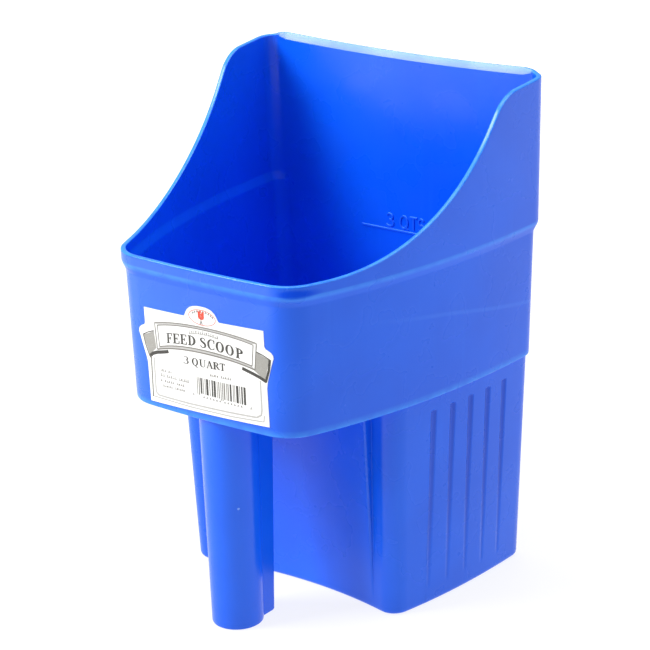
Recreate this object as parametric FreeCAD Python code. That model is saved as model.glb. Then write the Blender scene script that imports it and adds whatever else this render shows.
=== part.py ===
import FreeCAD, Part
import math
import os

V = FreeCAD.Vector
os.makedirs("parts", exist_ok=True)

# Enclosed feed scoop, millimetres. +Z is up, the label side faces -Y, the tall wall stands at +Y.
# The origin is on the resting plane under the middle of the bounding box.

# ---- driving dimensions --------------------------------------------------------------------
wall = 2.5                  # one wall thickness for the whole moulding
z_deck = 115.9              # underside of the front bin, top of the lower body
z_band = 184.0              # the outside step under the lip
band_rise = 4.6             # height of the sloped step
z_lip = 194.8               # front lip
band_step = 1.6             # the wall stands out this much above the band
deck_step = 1.0             # and steps in this much below the deck line

front_half = 54.6           # half width at the front corners, at the band
back_half = 88.4            # half width at the back corners, at the band
front_depth = 87.1          # axis to the front wall, at the band
back_depth = 85.0           # axis to the back wall
front_bow = 2.1             # the front wall bows out
side_bow = 9.95             # the side walls bow out at mid depth
side_skew = 1.5             # and a little more towards the front
front_radius = 20.9
back_radius = 9.6
side_taper = 0.036          # inward per mm of height going down, side walls
back_taper = 0.016
upper_taper = 0.027         # side walls above the band
lower_taper = 0.043         # side walls below the deck
lower_back_taper = 0.024

leg_front = -26.2           # front face of the two front legs at the floor
leg_lean = 0.017
leg_radius = 9.7 
hollow_depth = 9.0          # how far the knuckle hollow sinks between the legs
panel_half = 51.5           # half width of the raised knuckle panel at the floor
panel_half_top = 54.6
panel_rise = 5.6            # the panel stands this far out of the legs at the deck
panel_start = 4.0
base_round = 2.5
deck_round = 1.0

rim_start = -67.4           # the side rims leave the lip here
rim_radius = 128.5          # concave sweep of the side rims
rim_angle = 54.5            # steepest slope of the rims, degrees
rim_run = 7.4               # short straight part
shoulder_radius = 22.5
shoulder_angle = 4.5        # slope of the rim behind the shoulder
top_rise = 1.8              # the back wall rises this much above the rims past the corners
rise_out, rise_in = 85.6, 79.0  # x where that rise begins and ends
top_sag = 1.8               # and its top sags in the middle
bevel_drop = 3.6            # bevel on the inside of the back wall
bevel_in = 1.8
bevel_half = 76.5

flute_count = 5
flute_first = -0.2          # y of the first flute at its top
flute_pitch = 13.8
flute_radius = 2.9
flute_depth = 1.1
flute_lean = -2.0
flute_top = 108.7
flute_low = 10.1

mark_z = 168.1              # capacity line inside the back wall
mark_half = 26.5
mark_out = 0.5
mark_height = 0.9

grip_y = -70.4              # axis of the round grip
grip_radius = 13.3          # at the floor
grip_radius_top = 14.8      # at the deck
grip_wall = 2.4
seam_y = -61.5              # the grip shell closes on the spine here
spine_half = 9.4
spine_half_top = 10.2
spine_back = -50.8
spine_back_top = -46.5
spine_round = 2.2
end_round = 1.2

label_thick = 0.25
label_turn = 1.6            # degrees, stuck on slightly turned
label_middle = 146.0
label_half = 37.9
label_low = 120.1
label_high = 169.7
crest_half = 10.9           # the bump on the top edge of the label
crest_high = 176.0
tail_half = 42.8            # the two banner tails stick out to here
tail_high, tail_tip, tail_low = 160.6, 156.8, 141.3


# ---- the plan of the bin ---------------------------------------------------------------------
def level(z, front, back, y_front, y_back):
    return dict(z=z, front=front, back=back, yf=y_front, yb=y_back)


def inset(lv, d, z=None):
    """The same level moved inwards by d."""
    slope = (lv["back"] - lv["front"]) / (lv["yb"] - lv["yf"])
    side = d * math.hypot(1.0, slope)
    front = lv["front"] + slope * d - side
    back = lv["back"] - slope * d - side
    return level(lv["z"] if z is None else z, front, back, lv["yf"] + d, lv["yb"] - d)


def side_x(lv, y):
    v = (y - (lv["yf"] + lv["yb"]) / 2.0) / ((lv["yb"] - lv["yf"]) / 2.0)
    straight = (lv["front"] + lv["back"]) / 2.0 + v * (lv["back"] - lv["front"]) / 2.0
    return straight + (side_bow - side_skew * v) * (1.0 - v * v)


def slope_of(f, t):
    return (f(t + 0.01) - f(t - 0.01)) / 0.02


def corner(face, side, a, b, r, inward):
    """Arc of radius r between the face y = face(x) and the side x = side(y): centre and both ends."""
    def gap(a, b):
        m, n = slope_of(face, a), slope_of(side, b)
        k, h = math.hypot(1.0, m), math.hypot(1.0, n)
        c = (a - inward * r * m / k, face(a) + inward * r / k)
        d = (side(b) - r / h, b + r * n / h)
        return c, d
    for _ in range(30):
        c, d = gap(a, b)
        g = (c[0] - d[0], c[1] - d[1])
        c1, d1 = gap(a + 0.01, b)
        c2, d2 = gap(a, b + 0.01)
        j11, j21 = (c1[0] - d1[0] - g[0]) / 0.01, (c1[1] - d1[1] - g[1]) / 0.01
        j12, j22 = (c2[0] - d2[0] - g[0]) / 0.01, (c2[1] - d2[1] - g[1]) / 0.01
        det = j11 * j22 - j12 * j21
        a -= (g[0] * j22 - g[1] * j12) / det
        b -= (g[1] * j11 - g[0] * j21) / det
    return gap(a, b)[0], (a, face(a)), (side(b), b)


def outline(lv, r_front, r_back, y_front=None, bow=None):
    """Closed outline at one height: front, corner, side, corner, back and the same mirrored."""
    z = lv["z"]
    yf = lv["yf"] if y_front is None else y_front
    bow = -front_bow if bow is None else bow
    width = side_x(lv, yf)
    side = lambda y: side_x(lv, y)
    face = lambda x: yf + bow * (1.0 - (x / width) ** 2)
    c1, p1, q1 = corner(face, side, width - r_front, yf + r_front, r_front, 1.0)
    c2, p2, q2 = corner(lambda x: lv["yb"], side, lv["back"] - r_back, lv["yb"] - r_back, r_back, -1.0)

    def bend(c, p, q, r):
        m = ((p[0] + q[0]) / 2.0 - c[0], (p[1] + q[1]) / 2.0 - c[1])
        k = r / math.hypot(*m)
        return (c[0] + m[0] * k, c[1] + m[1] * k)

    m1, m2 = bend(c1, p1, q1, r_front), bend(c2, p2, q2, r_back)
    ys = [q1[1] + (q2[1] - q1[1]) * k / 4.0 for k in range(5)]
    xs = [q1[0]] + [side(y) for y in ys[1:4]] + [q2[0]]

    def spline(sign, order):
        pts = [V(sign * xs[k], ys[k], z) for k in order]
        t0, t1 = slope_of(side, ys[order[0]]), slope_of(side, ys[order[-1]])
        way = 1.0 if order[0] < order[-1] else -1.0
        curve = Part.BSplineCurve()
        curve.interpolate(Points=pts, InitialTangent=V(way * sign * t0, way, 0).normalize(),
                          FinalTangent=V(way * sign * t1, way, 0).normalize())
        return curve.toShape()

    P = lambda p, s: V(s * p[0], p[1], z)
    arc = lambda a, m, b: Part.Arc(a, m, b).toShape()
    return Part.Wire([
        arc(P(p1, -1), V(0, face(0.0), z), P(p1, 1)),
        arc(P(p1, 1), P(m1, 1), P(q1, 1)),
        spline(1.0, [0, 1, 2, 3, 4]),
        arc(P(q2, 1), P(m2, 1), P(p2, 1)),
        Part.LineSegment(P(p2, 1), P(p2, -1)).toShape(),
        arc(P(p2, -1), P(m2, -1), P(q2, -1)),
        spline(-1.0, [4, 3, 2, 1, 0]),
        arc(P(q1, -1), P(m1, -1), P(p1, -1))])


def tube(low, high, r_front, r_back, y_low=None, y_high=None, bow=None):
    return Part.makeLoft([outline(low, r_front, r_back, y_low, bow),
                          outline(high, r_front, r_back, y_high, bow)], True, True)


def lower(lv, dz, side, back, front=0.0, z=None):
    """A level dz further down with its walls tapered in."""
    return level(lv["z"] - dz if z is None else z, lv["front"] - side * dz, lv["back"] - side * dz,
                 lv["yf"] + front * dz, lv["yb"] - back * dz)


def fuse(shapes):
    out = shapes[0]
    for s in shapes[1:]:
        out = out.fuse(s)
    return out.removeSplitter()


radians = math.radians


def rim_points():
    """Side view of the rim, front to back: ends of the concave arc, the shoulder arc and the last run."""
    a, b = radians(rim_angle), radians(shoulder_angle)
    p0 = (rim_start, z_lip)
    mid = (rim_start + rim_radius * math.sin(a / 2), z_lip + rim_radius * (1 - math.cos(a / 2)))
    p1 = (rim_start + rim_radius * math.sin(a), z_lip + rim_radius * (1 - math.cos(a)))
    p2 = (p1[0] + rim_run * math.cos(a), p1[1] + rim_run * math.sin(a))
    r, c = shoulder_radius, (a + b) / 2
    bend = (p2[0] + r * (math.sin(a) - math.sin(c)), p2[1] + r * (math.cos(c) - math.cos(a)))
    p3 = (p2[0] + r * (math.sin(a) - math.sin(b)), p2[1] + r * (math.cos(b) - math.cos(a)))
    y_end = back_depth - wall
    p4 = (y_end, p3[1] + (y_end - p3[0]) * math.tan(b))
    return p0, mid, p1, p2, bend, p3, p4


height = rim_points()[-1][1]        # resting plane to the back corners
base = level(z_band + band_rise, front_half, back_half, -front_depth, back_depth)
L_top = lower(base, -(height + 6.0 - base["z"]), upper_taper, 0.0)
L_ledge = base
L_band = inset(base, band_step, z_band)
L_deck = lower(L_band, z_band - z_deck, side_taper, back_taper)
L_under = inset(L_deck, deck_step)
L_floor = lower(L_under, z_deck, lower_taper, lower_back_taper)


def inner_back(z):
    """The inside of the back wall is one flat face from the bin floor to the top, with no step."""
    low, high = L_deck["yb"] - wall, back_depth - wall
    return low + (high - low) * (z - z_deck - wall) / (height - z_deck - wall)


def inside(lv, z):
    lv = inset(lv, wall, z)
    lv["yb"] = inner_back(z)
    return lv


# ---- the bin moulding ------------------------------------------------------------------------
def low_tube(d, z0, z1):
    """The lower body with its two front legs; d moves every face inwards."""
    low = inset(lower(L_under, z_deck - z0, lower_taper, lower_back_taper), d, z0)
    high = inset(lower(L_under, z_deck - z1, lower_taper, lower_back_taper), d, z1)
    yl = [leg_front - leg_lean * z + d for z in (z0, z1)]
    return tube(low, high, leg_radius - d, back_radius - d, yl[0], yl[1], hollow_depth)


def bin_tube(low, high, d, z0=None, z1=None):
    return tube(inset(low, d, z0), inset(high, d, z1), front_radius - d, back_radius - d)


def hollow_tube(low, high, z0, z1):
    return tube(inside(low, z0), inside(high, z1), front_radius - wall, back_radius - wall)


def panel(d, z0, z1):
    """The knuckle panel between the legs as a block; d moves every face inwards."""
    rings = []
    for z in (z0, z1):
        t = z / z_deck
        half = panel_half + (panel_half_top - panel_half) * t - d
        edge = side_x(L_floor, leg_front)
        front = leg_front - leg_lean * z - panel_rise * t + 0.3 + d
        face = lambda x: front + hollow_depth * (1.0 - (x / edge) ** 2)
        a, b = V(-half, face(half), z), V(half, face(half), z)
        c, e = V(half, 20.0, z), V(-half, 20.0, z)
        line = lambda p, q: Part.LineSegment(p, q).toShape()
        rings.append(Part.Wire([Part.Arc(a, V(0, face(0.0), z), b).toShape(), line(b, c), line(c, e), line(e, a)]))
    return Part.makeLoft(rings, True, True)


def round_bottom(solid, r):
    z = solid.BoundBox.ZMin
    return solid.makeFillet(r, [e for e in solid.Edges if e.BoundBox.ZMax < z + 0.01])


def prism(points, x0, x1):
    """A closed outline of (y, z) corners and arcs, swept along X."""
    edges = []
    for p in points:
        v = [V(x0, y, z) for y, z in p]
        edges.append((Part.Arc(*v) if len(v) == 3 else Part.LineSegment(*v)).toShape())
    return Part.Face(Part.Wire(edges)).extrude(V(x1 - x0, 0, 0))


def sagging(y, direction, drop):
    """Everything above the sagging top line of the back wall, swept from y along a direction."""
    w, z = 130.0, height - drop
    right = [V(rise_in, y, z + top_rise), V(rise_out, y, z), V(w, y, z), V(w, y, z + 60)]
    pts = right + [V(-p.x, y, p.z) for p in reversed(right)]
    edges = [Part.LineSegment(p, q).toShape() for p, q in zip(pts, pts[1:])]
    edges.append(Part.Arc(pts[-1], V(0, y, z + top_rise - top_sag), pts[0]).toShape())
    return Part.Face(Part.Wire(edges)).extrude(direction)


outer = fuse([round_bottom(low_tube(0, 0, z_deck), base_round),
              round_bottom(bin_tube(L_deck, L_band, 0), deck_round),
              bin_tube(L_band, L_ledge, 0), bin_tube(L_ledge, L_top, 0),
              panel(0, panel_start, z_deck)])
inner = fuse([low_tube(wall, wall, z_deck + wall),
              hollow_tube(L_deck, L_band, z_deck + wall, z_band + 1.0),
              hollow_tube(L_band, L_ledge, z_band + 1.0, z_band + band_rise + 1.0),
              hollow_tube(L_ledge, L_top, z_band + band_rise + 1.0, L_top["z"]),
              panel(wall, panel_start, z_deck + wall)])
body = outer.cut(inner)

# the sweep of the rims, the sagging top of the back wall and its inside bevel
p0, mid, p1, p2, bend, p3, p4 = rim_points()
body = body.cut(prism([((-120, z_lip), p0), (p0, mid, p1), (p1, p2), (p2, bend, p3), (p3, p4),
                       (p4, (p4[0], 300)), ((p4[0], 300), (-120, 300)), ((-120, 300), (-120, z_lip))], -130, 130))
body = body.cut(sagging(p4[0] - 1.0, V(0, 10, 0), 0.0))
slope = bevel_drop / bevel_in
bevel = sagging(p4[0] - 1.0, V(0, 3.0, 3.0 * slope), bevel_drop + slope)
body = body.cut(bevel.common(Part.makeBox(2 * bevel_half, 20, 60, V(-bevel_half, p4[0] - 1.0, height - 30))))

# flutes down both sides of the lower body, running out near the floor
for k in range(flute_count):
    for sign in (1, -1):
        ends = []
        for z, lean, depth in ((flute_low, flute_lean, 0.25), (flute_top, 0.0, flute_depth)):
            y = flute_first + flute_pitch * k + lean
            x = side_x(lower(L_under, z_deck - z, lower_taper, lower_back_taper), y)
            ends.append(V(sign * (x + flute_radius - depth), y, z))
        way = ends[1].sub(ends[0])
        flute = Part.makeCylinder(flute_radius, way.Length, ends[0], way)
        body = body.cut(flute)

# the raised capacity line
mark_back = inner_back(mark_z)
body = body.fuse(Part.makeBox(2 * mark_half, mark_out + 1.0, mark_height,
                              V(-mark_half, mark_back - mark_out, mark_z))).removeSplitter()


# ---- the handle --------------------------------------------------------------------------------
def cone(r0, r1, z0=0.0, z1=z_deck):
    rise = (r1 - r0) / z_deck
    return Part.makeCone(r0 + rise * z0, r0 + rise * z1, z1 - z0, V(0, grip_y, z0))


def bar(d, y0, z0=0.0, z1=z_deck):
    rings = []
    for z in (z0, z1):
        t = z / z_deck
        half = spine_half + (spine_half_top - spine_half) * t - d
        back = spine_back + (spine_back_top - spine_back) * t - d
        r = spine_round - 0.6 * d
        c = r * (1 - math.sqrt(0.5))
        arc = lambda a, m, b: Part.Arc(a, m, b).toShape()
        line = lambda a, b: Part.LineSegment(a, b).toShape()
        P = lambda x, y: V(x, y, z)
        rings.append(Part.Wire([
            line(P(-half, y0), P(half, y0)), line(P(half, y0), P(half, back - r)),
            arc(P(half, back - r), P(half - c, back - c), P(half - r, back)),
            line(P(half - r, back), P(-half + r, back)),
            arc(P(-half + r, back), P(-half + c, back - c), P(-half, back - r)),
            line(P(-half, back - r), P(-half, y0))]))
    return Part.makeLoft(rings, True, True)


grip = round_bottom(cone(grip_radius, grip_radius_top), end_round)
grip = grip.cut(cone(grip_radius - grip_wall, grip_radius_top - grip_wall, -1.0, z_deck + 1.0))
grip = grip.cut(Part.makeBox(60, 60, z_deck + 4, V(-30, seam_y, -2)))
spine = round_bottom(bar(0.0, seam_y), end_round)
spine = spine.common(Part.makeBox(60, 60, z_deck, V(-30, seam_y, 0)))
spine = spine.cut(bar(grip_wall, seam_y - 5.0, -1.0, z_deck + 1.0))


# ---- the paper label ---------------------------------------------------------------------------
def label_outline():
    right = [(label_half, label_low), (label_half, tail_low), (tail_half, tail_tip), (label_half, tail_high),
             (label_half, label_high), (crest_half, label_high)]
    left = [(-x, z) for x, z in reversed(right)]
    c, s = math.cos(radians(label_turn)), math.sin(radians(label_turn))
    turn = lambda x, z: V(x * c - (z - label_middle) * s, -110, label_middle + x * s + (z - label_middle) * c)
    pts = [turn(x, z) for x, z in right + left]
    crest_start = len(right) - 1
    edges = []
    for k, p in enumerate(pts):
        q = pts[(k + 1) % len(pts)]
        if k == crest_start:
            edges.append(Part.Arc(p, turn(0.0, crest_high), q).toShape())
        else:
            edges.append(Part.LineSegment(p, q).toShape())
    return Part.Face(Part.Wire(edges))


wrap = bin_tube(L_deck, L_band, -label_thick).cut(bin_tube(L_deck, L_band, 0))
label = wrap.common(label_outline().extrude(V(0, 60, 0)))

# ---- stand everything over the origin and write the files ----------------------------------------
shift = V(0, (front_depth + front_bow - back_depth) / 2.0, 0)
for name, shape in (("scoop_body", body), ("handle_grip", grip), ("handle_spine", spine), ("label", label)):
    shape.translate(shift)
    if len(shape.Solids) == 1:
        shape = shape.Solids[0]
    shape.exportStep("parts/" + name + ".step")
    b = shape.BoundBox
    print(name, shape.isValid(), len(shape.Solids), round(shape.Volume), "mm3",
          [round(v, 2) for v in (b.XMin, b.XMax, b.YMin, b.YMax, b.ZMin, b.ZMax)])
filled = inner.common(Part.makeBox(400, 400, mark_z, V(-200, -200, 0)))
print("capacity to the line, litres", round(filled.Volume / 1e6, 3), "shift", shift)
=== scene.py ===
from collections import namedtuple
from math import asin, atan2, ceil, copysign, cos, hypot, pi, radians as rad, sin, sqrt, tan

import bmesh
import bpy
import numpy as np
from mathutils import Matrix, Vector
from mathutils.geometry import delaunay_2d_cdt


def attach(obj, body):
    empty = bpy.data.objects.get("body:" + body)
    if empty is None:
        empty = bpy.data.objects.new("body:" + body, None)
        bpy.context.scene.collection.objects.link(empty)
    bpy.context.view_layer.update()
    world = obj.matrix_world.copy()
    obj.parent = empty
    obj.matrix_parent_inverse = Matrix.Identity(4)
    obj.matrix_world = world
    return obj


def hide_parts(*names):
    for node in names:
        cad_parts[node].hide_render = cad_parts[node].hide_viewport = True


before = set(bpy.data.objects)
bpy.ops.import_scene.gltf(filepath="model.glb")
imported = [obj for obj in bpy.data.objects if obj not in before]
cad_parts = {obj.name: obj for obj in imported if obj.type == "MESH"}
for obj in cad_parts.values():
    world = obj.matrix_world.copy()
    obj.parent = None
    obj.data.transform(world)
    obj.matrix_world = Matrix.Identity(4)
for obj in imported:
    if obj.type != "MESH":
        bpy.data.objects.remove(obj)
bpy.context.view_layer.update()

MM = 0.001

# ---- sizes of the moulding, millimetres, as in the CAD model ----
wall = 2.5
z_deck, z_band, band_rise, z_lip = 115.9, 184, 4.6, 194.8
band_step, deck_step = 1.6, 1
front_half, back_half, front_depth, back_depth = 54.6, 88.4, 87.1, 85
front_bow, side_bow, side_skew = 2.1, 9.95, 1.5
front_radius, back_radius = 20.9, 9.6
side_taper, back_taper, upper_taper = 0.036, 0.016, 0.027
lower_taper, lower_back_taper = 0.043, 0.024
leg_front, leg_lean, leg_radius, hollow_depth = -26.2, 0.017, 9.7, 9
panel_half, panel_half_top, panel_rise = 51.5, 54.6, 5.6
base_round = 2.5
rim_start, rim_radius, rim_angle, rim_run = -67.4, 128.5, 54.5, 7.4
shoulder_radius, shoulder_angle = 22.5, 4.5
top_rise, rise_out, rise_in, top_sag = 1.8, 85.6, 79, 1.8
bevel_half = 76.5
flute_count, flute_first, flute_pitch, flute_radius, flute_depth = 5, -0.2, 13.8, 2.9, 1.1
flute_lean, flute_top, flute_low = -2, 108.7, 10.1
mark_z, mark_half, mark_out, mark_height, mark_root = 168.1, 26.5, 0.5, 0.9, 0.3
grip_y, grip_radius, grip_radius_top, grip_wall, seam_y = -70.4, 13.3, 14.8, 2.4, -61.5
spine_half, spine_half_top, spine_back, spine_back_top = 9.4, 10.2, -50.8, -46.5
spine_round = 2.2
label_thick, label_turn, label_middle, label_shift = 0.25, 1.6, 146, 0.85
label_half, label_low, label_high = 37.9, 120.1, 169.7
tail_half, tail_low = 42.8, 141.3
shift_y = (front_depth + front_bow - back_depth) / 2  # stands the model over the origin
# small distances and counts that the rings are drawn with, millimetres
above_rim = 6  # the walls are ruled up to this far over the rim
back_zone, back_edge = 1, 0.2  # the top of the back wall begins this near
foot_round, foot_zone = 0.6, 20  # rounding at the back wall's foot, and its reach
panel_soft = 2.4  # the panel's edge sharpens where it stands out less
blend_columns = 8  # columns over which the leg's end and the lean fade
flute_depth_low, flute_smooth, flute_sink = 0.25, 0.004, 0.02
fade_low, fade_top = (1.5, 3), (0.3, 1.1)  # past a flute's end, and over what, it fades
bevel_fade, bevel_from = 4, 60  # width where the bevel runs out, and least y
nudge, rounds = 0.01, 12  # step for slopes, rounds to settle a corner


# ---- the plan, level by level ----
level = namedtuple("level", "z front back yf yb")  # height, half widths, y of the front and the back


def inset(lv, d, z=None):
    slope = (lv.back - lv.front) / (lv.yb - lv.yf)
    side = d * hypot(1, slope)
    return level(lv.z if z is None else z, lv.front + slope * d - side,
                 lv.back - slope * d - side, lv.yf + d, lv.yb - d)


def lower(lv, dz, side, back, z=None):
    return level(lv.z - dz if z is None else z, lv.front - side * dz, lv.back - side * dz,
                 lv.yf, lv.yb - back * dz)


def side_x(lv, y):
    v = (y - (lv.yf + lv.yb) / 2) / ((lv.yb - lv.yf) / 2)
    straight = (lv.front + lv.back) / 2 + v * (lv.back - lv.front) / 2
    return straight + (side_bow - side_skew * v) * (1 - v * v)


def lerp(a, b, t):
    return a + (b - a) * t


def slope_of(f, t):
    return (f(t + nudge) - f(t - nudge)) / (2 * nudge)


def corner(face, side, a, b, r, inward):
    """Arc of radius r between the face y = face(x) and the side x = side(y): centre and both ends."""
    def gap(a, b):
        m, n = slope_of(face, a), slope_of(side, b)
        k, h = hypot(1, m), hypot(1, n)
        return (a - inward * r * m / k, face(a) + inward * r / k), (side(b) - r / h, b + r * n / h)
    for _ in range(rounds):
        c, d = gap(a, b)
        g = (c[0] - d[0], c[1] - d[1])
        c1, d1 = gap(a + nudge, b)
        c2, d2 = gap(a, b + nudge)
        j11, j21 = (c1[0] - d1[0] - g[0]) / nudge, (c1[1] - d1[1] - g[1]) / nudge
        j12, j22 = (c2[0] - d2[0] - g[0]) / nudge, (c2[1] - d2[1] - g[1]) / nudge
        det = j11 * j22 - j12 * j21
        a -= (g[0] * j22 - g[1] * j12) / det
        b -= (g[1] * j11 - g[0] * j21) / det
    return gap(a, b)[0], (a, face(a)), (side(b), b)


def front_corner(lv, y, r, bow):
    """A bowed front, its corner's centre and both ends of the arc; its middle is at y + bow."""
    width = side_x(lv, y)
    face = lambda x: y + bow * (1 - (x / width) ** 2)
    return (face,) + corner(face, lambda s: side_x(lv, s), width - r, y + r, r, 1)


def rim_profile():
    a, b = rad(rim_angle), rad(shoulder_angle)
    p1 = (rim_start + rim_radius * sin(a), z_lip + rim_radius * (1 - cos(a)))
    p2 = (p1[0] + rim_run * cos(a), p1[1] + rim_run * sin(a))
    r = shoulder_radius
    p3 = (p2[0] + r * (sin(a) - sin(b)), p2[1] + r * (cos(b) - cos(a)))
    y_end = back_depth - wall
    return p1, p2, p3, (y_end, p3[1] + (y_end - p3[0]) * tan(b))


rim_1, rim_2, rim_3, rim_4 = rim_profile()
height = rim_4[1]
base = level(z_band + band_rise, front_half, back_half, -front_depth, back_depth)
L_top = lower(base, -(height + above_rim - base.z), upper_taper, 0)
L_band = inset(base, band_step, z_band)
L_deck = lower(L_band, z_band - z_deck, side_taper, back_taper)
L_under = inset(L_deck, deck_step)
L_floor = lower(L_under, z_deck, lower_taper, lower_back_taper)


def inner_back(z):
    """The inside of the back wall is one flat face, with no step."""
    low, high = L_deck.yb - wall, back_depth - wall
    return low + (high - low) * (z - z_deck - wall) / (height - z_deck - wall)


def inside(lv, z, d=0):
    lv = inset(lv, wall + d, z)
    return lv._replace(yb=inner_back(z) - (min(d, foot_round) if z < z_deck + foot_zone else 0))


def rim_height(x, y):
    """Height of the rim above a point of the plan."""
    a, b = rad(rim_angle), rad(shoulder_angle)
    if y <= rim_start:
        z = z_lip
    elif y <= rim_1[0]:
        z = z_lip + rim_radius - sqrt(rim_radius ** 2 - (y - rim_start) ** 2)
    elif y <= rim_2[0]:
        z = rim_1[1] + (y - rim_1[0]) * tan(a)
    elif y <= rim_3[0]:
        cy, cz = rim_2[0] + shoulder_radius * sin(a), rim_2[1] - shoulder_radius * cos(a)
        z = cz + sqrt(max(0, shoulder_radius ** 2 - (y - cy) ** 2))
    else:
        z = min(height, rim_3[1] + (y - rim_3[0]) * tan(b))
    if y > rim_4[0] - back_zone:
        t = min(1, max(0, (rise_out - abs(x)) / (rise_out - rise_in)))
        top = height + top_rise * t - top_sag * max(0, 1 - (x / rise_in) ** 2)
        z = top if y > rim_4[0] - back_edge else min(z, top)
    return z


# ---- columns of the plan: every ring has the same number of points ----
N_FACE, N_TURN, N_CORNER, N_BACK, N_LEG = 26, 32, 9, 44, 60
EDGE = [-1.3, -1, -0.66, -0.32, -0.08, 0.03, 0.1, 0.18, 0.34, 0.62]  # across the panel's edge, mm
PROUD = [0, 0.06, 0.26, 0.66, 1.15, None, -0.8, -0.42, -0.14, 0]  # how far down it is there
N_BEFORE, N_AFTER = 4, 9  # side columns before the first flute and after the last
GROOVE_LIP = (-0.45, -0.12, 0.1, 0.35, 0.9)  # columns past the edge of a flute
GROOVE_MID = (0.62, 1.25)  # and from its middle
LAND = (0.33, 0.44, 0.56, 0.67)  # between flutes, as shares of the pitch


def side_stations(y0, y1):
    """y of the side columns at the deck, close together across each flute."""
    half = sqrt(flute_radius ** 2 - (flute_radius - flute_depth) ** 2)
    away = list(GROOVE_MID) + [half + u for u in GROOVE_LIP]
    across = [-u for u in reversed(away)] + [0] + away
    ys = []
    for k in range(flute_count):
        c = flute_first + flute_pitch * k
        ys += [c + u for u in across]
        if k < flute_count - 1:
            ys += [c + flute_pitch * f for f in LAND]
    first, last = ys[0], ys[-1]
    before = [y0 + (first - y0) * k / N_BEFORE for k in range(N_BEFORE)]
    after = [last + (y1 - last) * k / N_AFTER for k in range(1, N_AFTER + 1)]
    return before + ys + after[:-1]


def arc_points(c, p, q, n):
    """n points round the arc from p to q about c."""
    a, b = atan2(p[1] - c[1], p[0] - c[0]), atan2(q[1] - c[1], q[0] - c[0])
    while b - a > pi:
        b -= 2 * pi
    while a - b > pi:
        b += 2 * pi
    r = hypot(p[0] - c[0], p[1] - c[1])
    return [(c[0] + r * cos(a + (b - a) * k / (n - 1)), c[1] + r * sin(a + (b - a) * k / (n - 1)))
            for k in range(n)]


def side_and_back(lv, d):
    """y of the side columns, and points round the back corner to the middle of the back."""
    r = max(back_radius - d, 0.8)
    c, p, q = corner(lambda x: lv.yb, lambda y: side_x(lv, y), lv.back - r, lv.yb - r, r, -1)
    edge = bevel_half - 0.6
    xs = [bevel_half + 0.15, bevel_half - 0.05, edge]
    xs += [edge * (1 - k / (N_BACK - 3)) for k in range(1, N_BACK - 2)]
    if p[0] < bevel_half + 0.5:  # low down the flat of the wall is narrower
        xs = [p[0] * (1 - k / N_BACK) for k in range(1, N_BACK + 1)]
    return side_stations(low_side_start, q[1]), arc_points(c, q, p, N_CORNER) + [(x, lv.yb) for x in xs]


def bin_ring(lv, d):
    """Half outline of the bin, front middle to back middle, its corners d tighter than outside."""
    face, c, p, q = front_corner(lv, lv.yf, front_radius - d, -front_bow)
    n_face, n_arc = N_FACE + len(EDGE), N_TURN // 2 + 2
    pts = [(p[0] * k / n_face, face(p[0] * k / n_face)) for k in range(n_face)]
    pts += arc_points(c, p, q, n_arc)
    stations, rest = side_and_back(lv, d)
    n_pre = N_TURN - n_arc
    ys = [q[1] + (stations[0] - q[1]) * k / (n_pre + 1) for k in range(1, n_pre + 1)]
    return np.array(pts + [(side_x(lv, y), y) for y in ys + stations] + rest)


def panel_face(x, z, d):
    """y of the knuckle panel, the flat of the front moved out and hollowed like it."""
    edge = side_x(L_floor, leg_front)
    return leg_front - leg_lean * z - panel_rise * (z / z_deck) + 0.3 + d + hollow_depth * (1 - (x / edge) ** 2)


def low_ring(z, d, flutes=False):
    """Half outline of the lower body at height z with every face moved in by d."""
    lv = inset(lower(L_under, z_deck - z, lower_taper, lower_back_taper), d, z)
    r = leg_radius - d
    face, c, p, q = front_corner(lv, leg_front - leg_lean * z + d, r, hollow_depth)
    leg = lambda x: face(x) if x < p[0] else c[1] - sqrt(max(r ** 2 - (x - c[0]) ** 2, 0))
    d_panel = wall if d >= wall else 0
    half = panel_half + (panel_half_top - panel_half) * z / z_deck - d_panel
    proud = lambda x: max(0, leg(x) - panel_face(x, z, d_panel)) if d in (0, wall) else 0
    inner = half + EDGE[0]
    pts = [(x, leg(x) - proud(x)) for x in (inner * k / N_FACE for k in range(N_FACE))]
    h = proud(half)
    s = min(1, h / panel_soft)
    for a, b in zip(EDGE, PROUD):
        x = half + a
        down = h / 2 if b is None else (b * s if b > 0 or a < 0 else h + b * s)
        pts.append((x, leg(x) - h + down if a > EDGE[0] else leg(x) - proud(x)))
    x0 = half + EDGE[-1]
    run = [(x0, leg(x0))]
    if x0 < p[0]:
        run += [(x0 + (p[0] - x0) * k / 6, face(x0 + (p[0] - x0) * k / 6)) for k in range(1, 6)]
        run += arc_points(c, p, q, N_LEG)
    else:
        run += arc_points(c, run[0], q, N_LEG)[1:]
    run = np.array(run)
    along = np.concatenate([[0], np.cumsum(np.hypot(*np.diff(run, axis=0).T))])
    want = np.linspace(0, along[-1], N_TURN + 1)[1:]
    pts += list(zip(np.interp(want, along, run[:, 0]), np.interp(want, along, run[:, 1])))
    stations, rest = side_and_back(lv, d)
    lean = flute_lean * (flute_top - z) / (flute_top - flute_low)
    for k, y in enumerate(stations):
        f = min(1, (k + 1) / blend_columns, (len(stations) - k) / blend_columns)
        y = y + lean * f + (q[1] - low_side_start) * max(0, 1 - k / blend_columns)
        pts.append((side_x(lv, y) - (flute_cut(y, z) if flutes else 0), y))
    return np.array(pts + rest)


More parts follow.
